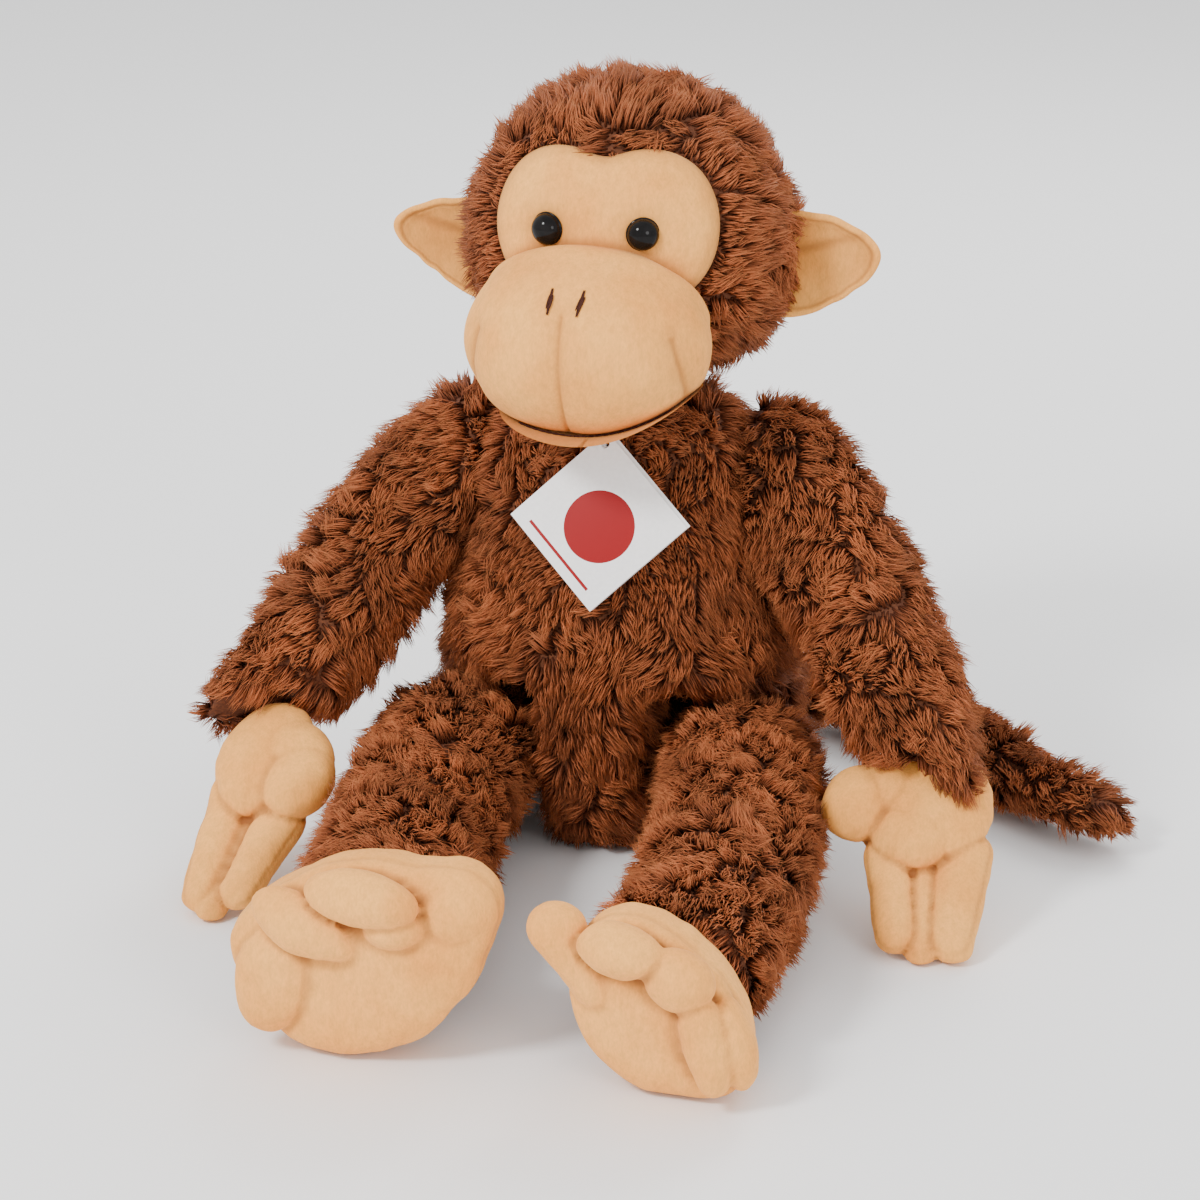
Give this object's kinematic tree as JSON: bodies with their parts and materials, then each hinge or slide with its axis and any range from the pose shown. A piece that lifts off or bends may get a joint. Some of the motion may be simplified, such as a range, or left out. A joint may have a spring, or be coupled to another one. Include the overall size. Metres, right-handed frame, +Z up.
{
  "type": "stuffed monkey",
  "caption": "Seated plush monkey with long floppy arms and legs, shaggy brown pile, beige face, ears, hands and feet, a long tail and a card hang tag.",
  "frame": {"origin": "middle of the flat seat under the torso, on the surface it sits on", "axes": "+Z up from the seat; the monkey faces -Y, and its own left is +X"},
  "size_m": [0.3403, 0.3558, 0.293],
  "materials": {
    "brown_fur": "long shaggy pile, swirled into locks, chestnut brown with lighter tips",
    "beige_plush": "short dense pile plush, matte with a soft bloom",
    "stuffing": "loose polyester fibre",
    "eye_plastic": "black, mirror gloss",
    "washer_plastic": "natural nylon",
    "brown_thread": "satin stitched thread",
    "white_card": "coated card, white, with a plain red disc and a plain red rule",
    "fastener_plastic": "thin translucent nylon"
  },
  "bodies": {
    "torso": {"torso_fur_left": "brown_fur", "torso_fur_right": "brown_fur", "torso_stuffing": "stuffing", "tag_fastener": "fastener_plastic"},
    "head": {"head_fur_left": "brown_fur", "head_fur_right": "brown_fur", "head_stuffing": "stuffing", "face_mask": "beige_plush", "muzzle_left": "beige_plush", "muzzle_right": "beige_plush", "lower_lip": "beige_plush", "muzzle_stuffing": "stuffing", "eye_left": "eye_plastic", "eye_right": "eye_plastic", "eye_washer_left": "washer_plastic", "eye_washer_right": "washer_plastic", "nostril_left": "brown_thread", "nostril_right": "brown_thread", "mouth_line": "brown_thread", "ear_left_front": "beige_plush", "ear_left_back": "beige_plush", "ear_right_front": "beige_plush", "ear_right_back": "beige_plush"},
    "arm_left": {"arm_left_fur_outer": "brown_fur", "arm_left_fur_inner": "brown_fur", "arm_left_stuffing": "stuffing", "hand_left_palm": "beige_plush", "hand_left_back": "beige_plush", "hand_left_stuffing": "stuffing"},
    "arm_right": {"arm_right_fur_outer": "brown_fur", "arm_right_fur_inner": "brown_fur", "arm_right_stuffing": "stuffing", "hand_right_palm": "beige_plush", "hand_right_back": "beige_plush", "hand_right_stuffing": "stuffing"},
    "leg_left": {"leg_left_fur_outer": "brown_fur", "leg_left_fur_inner": "brown_fur", "leg_left_stuffing": "stuffing", "foot_left_sole": "beige_plush", "foot_left_upper": "beige_plush", "foot_left_toes": "beige_plush", "foot_left_stuffing": "stuffing"},
    "leg_right": {"leg_right_fur_outer": "brown_fur", "leg_right_fur_inner": "brown_fur", "leg_right_stuffing": "stuffing", "foot_right_sole": "beige_plush", "foot_right_upper": "beige_plush", "foot_right_toes": "beige_plush", "foot_right_stuffing": "stuffing"},
    "tail": {"tail_fur_upper": "brown_fur", "tail_fur_lower": "brown_fur", "tail_stuffing": "stuffing"},
    "tag": {"tag_front_leaf": "white_card", "tag_back_leaf": "white_card"}
  },
  "joints": [
    {"name": "neck_turn", "type": "hinge", "parent": "torso", "child": "head", "pos_m": [0.003, -0.003, 0.176], "axis": [0, 0, 1], "range_deg": [-30, 30]},
    {"name": "shoulder_left_swing", "type": "hinge", "parent": "torso", "child": "arm_left", "pos_m": [0.058, 0.002, 0.142], "axis": [1, 0, 0], "range_deg": [-65, 28]},
    {"name": "shoulder_right_swing", "type": "hinge", "parent": "torso", "child": "arm_right", "pos_m": [-0.058, 0.002, 0.142], "axis": [1, 0, 0], "range_deg": [-65, 28]},
    {"name": "hip_left_swing", "type": "hinge", "parent": "torso", "child": "leg_left", "pos_m": [0.056, -0.038, 0.032], "axis": [1, 0, 0], "range_deg": [-15, 88]},
    {"name": "hip_right_swing", "type": "hinge", "parent": "torso", "child": "leg_right", "pos_m": [-0.056, -0.038, 0.032], "axis": [1, 0, 0], "range_deg": [-15, 88]},
    {"name": "tail_swing", "type": "hinge", "parent": "torso", "child": "tail", "pos_m": [0, 0.075, 0.017], "axis": [0, 0, 1], "range_deg": [-4, 90]},
    {"name": "tag_swing", "type": "hinge", "parent": "torso", "child": "tag", "pos_m": [0.004, -0.048, 0.1625], "axis": [0, -0.9239, 0.3827], "range_deg": [-35, 35]}
  ]
}
